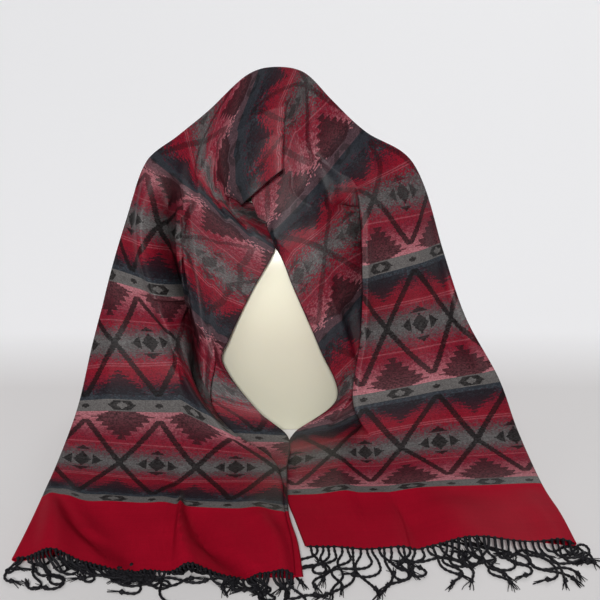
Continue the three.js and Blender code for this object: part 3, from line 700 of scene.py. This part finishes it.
class Term:
    # a number in a shader tree, so that a pattern can be written as sums
    def __init__(self, tree, socket):
        self.tree, self.socket = tree, socket

    def op(self, operation, *others):
        node = self.tree.nodes.new("ShaderNodeMath")
        node.operation = operation
        for slot, value in zip(node.inputs, (self,) + others):
            feed(self.tree, slot, value)
        return Term(self.tree, node.outputs[0])

    def __add__(self, other):
        return self.op("ADD", other)

    def __sub__(self, other):
        return self.op("SUBTRACT", other)

    def __mul__(self, other):
        return self.op("MULTIPLY", other)

    def __truediv__(self, other):
        return self.op("DIVIDE", other)

    def __lt__(self, other):
        return self.op("LESS_THAN", other)

    def __gt__(self, other):
        return self.op("GREATER_THAN", other)

    def __or__(self, other):
        return self.op("MAXIMUM", other)

    def __and__(self, other):
        return self.op("MULTIPLY", other)

    def abs(self):
        return self.op("ABSOLUTE")

    def wrap(self, size):
        return self.op("FLOORED_MODULO", size)

    def cells(self, size):
        # the middle of the cell that the value lies in
        return ((self / size).op("FLOOR") + 0.5) * size


class Tree:
    # a material, its one shader and the parts of patterns that feed it
    def __init__(self, name):
        self.material = bpy.data.materials.new(name)
        self.material.use_nodes = True
        self.tree = self.material.node_tree
        self.tree.nodes.clear()
        self.shader = self.new("BsdfPrincipled")
        feed(self.tree, self.new("OutputMaterial").inputs[0], self.shader.outputs[0])

    def new(self, kind, **inputs):
        node = self.tree.nodes.new("ShaderNode" + kind)
        for name, value in inputs.items():
            feed(self.tree, node.inputs[name], value)
        return node

    def set(self, **values):
        for key, value in values.items():
            self.shader.inputs[key.replace("_", " ")].default_value = value

    def parts(self, socket, count):
        # the first parts of a place, from metres to millimetres
        split = self.new("SeparateXYZ", Vector=socket)
        return [Term(self.tree, split.outputs[k]) * 1000 for k in range(count)]

    def weavePlace(self):
        # length and width along the cloth
        place = self.new("UVMap")
        place.uv_map = "weave"
        return self.parts(place.outputs[0], 2)

    def objectPlace(self):
        return self.parts(self.new("TexCoord").outputs["Object"], 3)

    def attribute(self, name):
        node = self.new("Attribute")
        node.attribute_name = name
        return Term(self.tree, node.outputs["Fac"])

    def vector(self, x, y=0.0, z=0.0):
        return self.new("CombineXYZ", X=x, Y=y, Z=z).outputs[0]

    def speckle(self, x, y=None):
        # one random value for each whole step of x, and of y
        place = self.vector(x.op("FLOOR"), 0.0 if y is None else y.op("FLOOR"))
        noise = self.new("TexWhiteNoise")
        noise.noise_dimensions = "2D"
        feed(self.tree, noise.inputs["Vector"], place)
        return Term(self.tree, noise.outputs["Value"])

    def cloud(self, x, y, z=0.0, scale=1.0, detail=2.0):
        noise = self.new("TexNoise", Scale=scale, Detail=detail, Vector=self.vector(x, y, z))
        return Term(self.tree, noise.outputs[0])

    def ramp(self, value, stops):
        node = self.new("ValToRGB", Fac=value)
        points = node.color_ramp.elements
        while len(points) > 1:
            points.remove(points[0])
        points[0].position, points[0].color = stops[0][0], linear(*stops[0][1])
        for position, colour in stops[1:]:
            points.new(position).color = linear(*colour)
        return node.outputs[0]

    def mix(self, factor, a, b, blend="MIX"):
        node = self.new("Mix")
        node.data_type, node.blend_type = "RGBA", blend
        for slot, value in ((node.inputs[0], factor), (node.inputs[6], a), (node.inputs[7], b)):
            feed(self.tree, slot, value)
        return node.outputs[2]

    def shade(self, colour, amount):
        # brightens or darkens a colour by a factor
        grey = self.new("CombineColor", Red=amount, Green=amount, Blue=amount)
        return self.mix(1.0, colour, grey.outputs[0], "MULTIPLY")

    def finish(self, colour, height, strength, distance):
        bump = self.new("Bump", Strength=strength, Distance=distance, Height=height)
        feed(self.tree, self.shader.inputs["Base Color"], colour)
        feed(self.tree, self.shader.inputs["Normal"], bump.outputs[0])
        return self.material


# The figure: along the cloth from the middle of the grey band, across it from an eye or half-way between two.
weave = {
    "repeat": 180.5, "start": 158, "columns": 104, "firstColumn": 14, "step": 1.7, "across": 1.8,
    "thread": (2.6, 1.4), "dither": 16.0, "groundEnds": (9.0, 172.0),
    "bandHalf": 8, "band": (96, 93, 92), "duskHalf": 16, "duskDither": 14, "dusk": (42, 44, 50),
    "eye": 91, "core": (12.5, 15), "sides": (15, 28, 10), "chevron": (17, 25, 1.5), "motif": (16, 12, 13),
    "diamond": (13, 160), "line": 4.8,
    "tooth": (6.8, 13), "hangingFir": (15, 52), "risingFir": (126, 165), "foot": (164, 172.5),
    "navy": (30, 26, 32), "fir": (46, 20, 25),
    "paleLines": (56.5, 60, 123.5), "paleHalf": 0.9, "pale": (176, 104, 112),
    "small": (6, 5), "longEye": (19, 7), "light": (9, 5),
    "pick": 0.85, "end": (1.6, 1.2), "twill": 1.7, "selvedgeWidth": 1.6, "selvedge": (30, 14, 18),
    "ground": [
        (8, (34, 37, 44)), (12, (58, 65, 72)), (18, (44, 45, 51)), (24, (52, 28, 38)), (30, (84, 20, 34)),
        (38, (108, 24, 40)), (46, (122, 20, 37)), (57, (126, 16, 34)), (63, (118, 27, 43)),
        (69, (106, 48, 58)), (76, (82, 66, 68)), (84, (86, 83, 83)), (91, (98, 96, 96)),
        (98, (86, 83, 83)), (106, (88, 64, 68)), (113, (108, 48, 58)), (121, (124, 22, 39)),
        (131, (116, 24, 42)), (138, (114, 40, 54)), (148, (136, 66, 76)), (160, (152, 88, 96)),
        (174, (166, 108, 115)),
    ],
}


def makeWoven():
    facts = weave
    t = Tree("wovenPashmina")
    t.set(Roughness=0.36, Specular_IOR_Level=0.16)
    s, w = t.weavePlace()
    u = (s - facts["start"]).wrap(facts["repeat"])
    us = u.cells(facts["step"])
    half = facts["columns"] / 2
    away = ((w - facts["firstColumn"] + half).wrap(facts["columns"]) - half).abs().cells(facts["across"])
    g = away * -1 + half  # from half-way between two eyes
    band = us.op("MINIMUM", (us - facts["repeat"]) * -1.0)
    inBand = band < facts["bandHalf"]
    middle = (us - facts["eye"]).abs()
    toothLength, toothDepth = facts["tooth"]
    tooth = (us / toothLength).op("FRACT") * toothDepth

    # the ground, its colour zones run into each other thread by thread
    wide, tall = facts["thread"]
    thread = t.speckle(w / wide, s / tall)
    blurred = t.attribute("blurred")
    loose = u + (thread - 0.5) * facts["dither"] * (blurred * 0.8 + 1)
    low, high = facts["groundEnds"]
    loose = loose.op("MAXIMUM", low).op("MINIMUM", high)
    stops = [(place / facts["repeat"], colour) for place, colour in facts["ground"]]
    ground = t.ramp(loose / facts["repeat"], stops)
    # dark firs that hang below the grey band
    low, high = facts["hangingFir"]
    hanging = (g < (us - 10) * -1.1 + 50 - tooth) & (us > low) & (us < high)
    ground = t.mix(hanging * (thread * 0.3 + 0.66), ground, linear(*facts["navy"]))
    ground = t.mix(inBand * (blurred * -1 + 1), ground, linear(*facts["band"]))
    dusk = (band + (thread - 0.5) * facts["duskDither"] < facts["duskHalf"]) * blurred
    ground = t.mix(dusk * 0.85, ground, linear(*facts["dusk"]))
    first, second, third = ((us - line).abs() < facts["paleHalf"] for line in facts["paleLines"])
    ground = t.mix((first | second | third) * 0.3, ground, linear(*facts["pale"]))

    # tall diamonds round the eyes
    low, high = facts["diamond"]
    climbing = (us - low) * (1 / (facts["eye"] - low))
    climbing = climbing.op("MINIMUM", (us - high) * (-1 / (high - facts["eye"])))
    lattice = ((away - climbing * half).abs() < facts["line"]) & (us > low) & (us < high)
    # the eye: a core, a triangle on each side and a chevron above and below
    wide, tall = facts["core"]
    core = (away * (1 / wide) + middle * (1 / tall)) < 1
    inner, outer, tall = facts["sides"]
    sides = (away > inner) & (middle < (away * -1 + outer) * (tall / (outer - inner)))
    low, high, slope = facts["chevron"]
    chevron = (middle > low) & (away < (middle * -1 + high) * slope)
    # firs in the pink, each on a foot
    low, high = facts["risingFir"]
    rising = (g < (us - low) * (44 / 38) - tooth * 0.9 + 3) & (us > low) & (us < high)
    low, high = facts["foot"]
    foot = (g < (us * -1 + 174) * 3.4 + 8) & (us > low) & (us < high)
    # the band's small diamond, and its long eye with a light middle
    wide, tall = facts["small"]
    small = (away / wide + band / tall) < 1
    wide, tall = facts["longEye"]
    longEye = (g < wide) & (band < tall) & (band < (g * -1 + 20) * 0.8)
    wide, tall = facts["light"]
    light = (g / wide + band / tall) < 1
    longEye = longEye & (light * -1 + 1)
    dark = lattice | core | sides | chevron | ((small | longEye) & inBand)
    colour = t.mix((rising | foot) * (thread * 0.3 + 0.68), ground, linear(*facts["fir"]))
    fleck = thread * 0.26 + 0.7
    colour = t.mix(dark * fleck * (blurred * -0.4 + 1), colour, linear(*facts["motif"]))

    # threads, slubs and the dark selvedges
    pick = t.speckle(s / facts["pick"]) * 0.16 + 0.92
    wide, tall = facts["end"]
    end = t.speckle(w / wide, s / tall) * 0.46 + 0.66
    broad = t.cloud(s, w, scale=0.012) * 0.3 + 0.86
    colour = t.shade(colour, pick * end * broad)
    # painted shade: the cloth is darker in folds and between layers
    colour = t.shade(colour, t.attribute("paintedShade") * -0.62 + 1)
    edge = t.attribute("selvedge") < facts["selvedgeWidth"]
    colour = t.mix(edge * 0.6, colour, linear(*facts["selvedge"]))
    twill = ((s * 1.0 + w * 0.8) * (2 * math.pi / facts["twill"])).op("SINE")
    return t.finish(colour, twill * 0.5 + thread * 0.4, 0.35, 0.0003)


borderLook = {
    "pick": 1.1, "end": 0.9, "plain": (1.9, 1.8), "crimson": ((139, 6, 28), (153, 11, 35)),
    "selvedgeWidth": 1.6, "selvedge": (60, 10, 18),
}


def makeBorderCloth():
    facts = borderLook
    t = Tree("crimsonBorder")
    t.set(Roughness=0.6, Specular_IOR_Level=0.03)
    s, w = t.weavePlace()
    slub = t.cloud(s * 0.03, w * 0.9, detail=3) * 0.22 + 0.89
    pick = t.speckle(s / facts["pick"]) * 0.08 + 0.96
    cross = t.speckle(w / facts["end"], s / facts["pick"]) * 0.12 + 0.94
    broad = t.cloud(s, w, scale=0.02) * 0.24 + 0.88
    colour = t.ramp(slub, list(zip((0.0, 1.0), facts["crimson"])))
    colour = t.shade(colour, slub * pick * cross * broad)
    # painted shade: the border is darker in its folds
    colour = t.shade(colour, t.attribute("paintedShade") * -0.5 + 1)
    edge = t.attribute("selvedge") < facts["selvedgeWidth"]
    colour = t.mix(edge * 0.5, colour, linear(*facts["selvedge"]))
    overS, overW = (2 * math.pi / size for size in facts["plain"])
    plain = (s * overS).op("SINE") * (w * overW).op("SINE")
    return t.finish(colour, plain * 0.5 + cross, 0.3, 0.0003)


# the form's cream with painted shade: a little greyer and darker towards the foot
creamAndFootShadeStops = [
    (0.0, (212, 210, 190)), (0.3, (226, 223, 203)), (0.5, (242, 239, 216)), (1.0, (246, 243, 221)),
]


def makeShellFinish():
    t = Tree("creamShell")
    t.set(Roughness=0.3, Specular_IOR_Level=0.45, Coat_Weight=0.15, Coat_Roughness=0.25,
          Subsurface_Weight=0.12, Subsurface_Scale=0.02, Subsurface_Radius=(1.0, 0.8, 0.5))
    x, y, z = t.objectPlace()
    height = t.cloud(x * 0.012, y * 0.012, z * 0.012) * 40 + z
    # painted shade: the cream darkens by height towards the foot
    colour = t.ramp(height / 500, creamAndFootShadeStops)
    grain = t.cloud(x, y, z, scale=0.9, detail=3)
    return t.finish(colour, grain, 0.06, 0.0002)


yarnLook = {
    "twist": 3.75, "girth": 8,
    "stops": [(0.25, (12, 12, 15)), (0.6, (22, 21, 26)), (0.85, (44, 43, 50))],
}


def makeYarnFinish():
    facts = yarnLook
    t = Tree("blackYarn")
    t.set(Roughness=0.66, Specular_IOR_Level=0.2)
    s, w = t.weavePlace()
    x, y, z = t.objectPlace()
    fibre = t.cloud(s * 1.3, w * 2.5, z * 0.5, detail=3)
    broad = t.cloud(x, y, z, scale=0.05)
    colour = t.ramp(fibre * 0.6 + broad * 0.4, facts["stops"])
    ply = ((s * (2 * math.pi / facts["twist"])) + w * (2 * math.pi / facts["girth"])).op("SINE")
    return t.finish(colour, ply * 0.4 + fibre, 0.5, 0.0004)


print("materials")
woven, borderCloth = makeWoven(), makeBorderCloth()
shellFinish, yarnFinish = makeShellFinish(), makeYarnFinish()
for piece, nodes, slot, material in [
    (fieldFront, ["left_fall", "neck_and_shoulders", "right_fall"], "woven_cloth", woven),
    (fieldBack, ["back_panel"], "woven_cloth", woven),
    (leftBorder, ["left_border"], "border_cloth", borderCloth),
    (rightBorder, ["right_border"], "border_cloth", borderCloth),
    (form, ["dress_form"], "form_shell", shellFinish),
] + [(fringes[row["name"]], [row["node"]], "fringe_yarn", yarnFinish) for row in fringeRows]:
    piece.data.materials.append(material)
    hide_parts(*nodes)
    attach(piece, "root")


stage = {
    "radius": 9.0, "sides": 96, "table": (212, 210, 210), "backdrop": (242, 242, 244), "glow": 0.17,
    "turn": (80, 320),  # millimetres behind the form's axis between which the table turns into the backdrop
}


def makeStage():
    # a round floor that runs on behind the table, open on every side
    facts = stage
    bpy.ops.object.select_all(action="DESELECT")
    bpy.ops.mesh.primitive_circle_add(vertices=facts["sides"], radius=facts["radius"], fill_type="NGON",
                                      location=(axisX, axisY, 0))
    floor = bpy.context.object
    floor.name = floor.data.name = "tableAndBackdrop"
    bpy.ops.object.transform_apply(location=True, rotation=True, scale=True)
    t = Tree("paleTable")
    t.set(Roughness=0.7, Specular_IOR_Level=0.2, Emission_Strength=facts["glow"])
    x, y, z = t.objectPlace()
    near, far = (axisY / mm + place for place in facts["turn"])
    tone = (y - near) / (far - near) + t.cloud(x, y, z, scale=0.004) * 0.1
    colour = t.ramp(tone, [(0.0, facts["table"]), (1.0, facts["backdrop"])])
    feed(t.tree, t.shader.inputs["Emission Color"], colour)
    floor.data.materials.append(t.finish(colour, t.cloud(x, y, z, scale=0.5), 0.02, 0.0002))


# name, kind, metres from the form's axis, size in degrees or metres, power, colour
lights = [
    ("softKey", "SUN", (-0.05, -2.35, 1.3), 8, 2.4, (1.0, 0.985, 0.97)),
    ("softTop", "SUN", (-0.3, -0.7, 2.6), 40, 0.55, (1, 1, 1)),
    ("leftSoft", "AREA", (-1.7, -1.2, 0.9), 0.9, 2.5, (1.0, 0.99, 0.98)),
    ("softFill", "AREA", (1.7, -1.6, 1.3), 1.4, 2, (0.95, 0.97, 1.0)),
    ("behindSoft", "SUN", (0.5, 2.4, 1.6), 30, 0.7, (1, 1, 1)),
]
lightTarget = Vector((axisX, axisY - 0.1, 0.2))
# dim room light on the piece, a pale room behind it
room = {"light": (0.93, 0.95, 1.0, 1.0), "strength": 0.12, "seen": (0.80, 0.80, 0.81, 1.0)}
cameraFacts = {"place": (32, -1879.4, 854.0), "elevation": 20.0, "lens": 82.2, "sensor": 36.0}


def makeLight(name, kind, place, size, power, colour):
    data = bpy.data.lights.new(name, kind)
    data.energy, data.color = power, colour
    if kind == "AREA":
        data.shape, data.size = "DISK", size
    else:
        data.angle = math.radians(size)
    lamp = bpy.data.objects.new(name, data)
    lamp.location = (axisX + place[0], axisY + place[1], place[2])
    lamp.rotation_euler = (lightTarget - Vector(lamp.location)).to_track_quat("-Z", "Y").to_euler()
    bpy.context.scene.collection.objects.link(lamp)


print("stage, light and camera")
makeStage()
for facts in lights:
    makeLight(*facts)

world = bpy.data.worlds.new("softRoom")
bpy.context.scene.world = world
world.use_nodes = True
nodes, links = world.node_tree.nodes, world.node_tree.links
nodes["Background"].inputs[0].default_value = room["light"]
nodes["Background"].inputs[1].default_value = room["strength"]
pale, ray, blend = (nodes.new("ShaderNode" + kind) for kind in ("Background", "LightPath", "MixShader"))
pale.inputs[0].default_value = room["seen"]
links.new(ray.outputs["Is Camera Ray"], blend.inputs[0])
links.new(nodes["Background"].outputs[0], blend.inputs[1])
links.new(pale.outputs[0], blend.inputs[2])
links.new(blend.outputs[0], nodes["World Output"].inputs[0])

camera = bpy.data.objects.new("camera", bpy.data.cameras.new("camera"))
camera.data.lens, camera.data.sensor_width = cameraFacts["lens"], cameraFacts["sensor"]
camera.location = tuple(toScene([cameraFacts["place"]])[0])
camera.rotation_euler = (math.radians(90 - cameraFacts["elevation"]), 0, 0)
bpy.context.scene.collection.objects.link(camera)
bpy.context.scene.camera = camera
bpy.context.scene.view_settings.view_transform = "Standard"
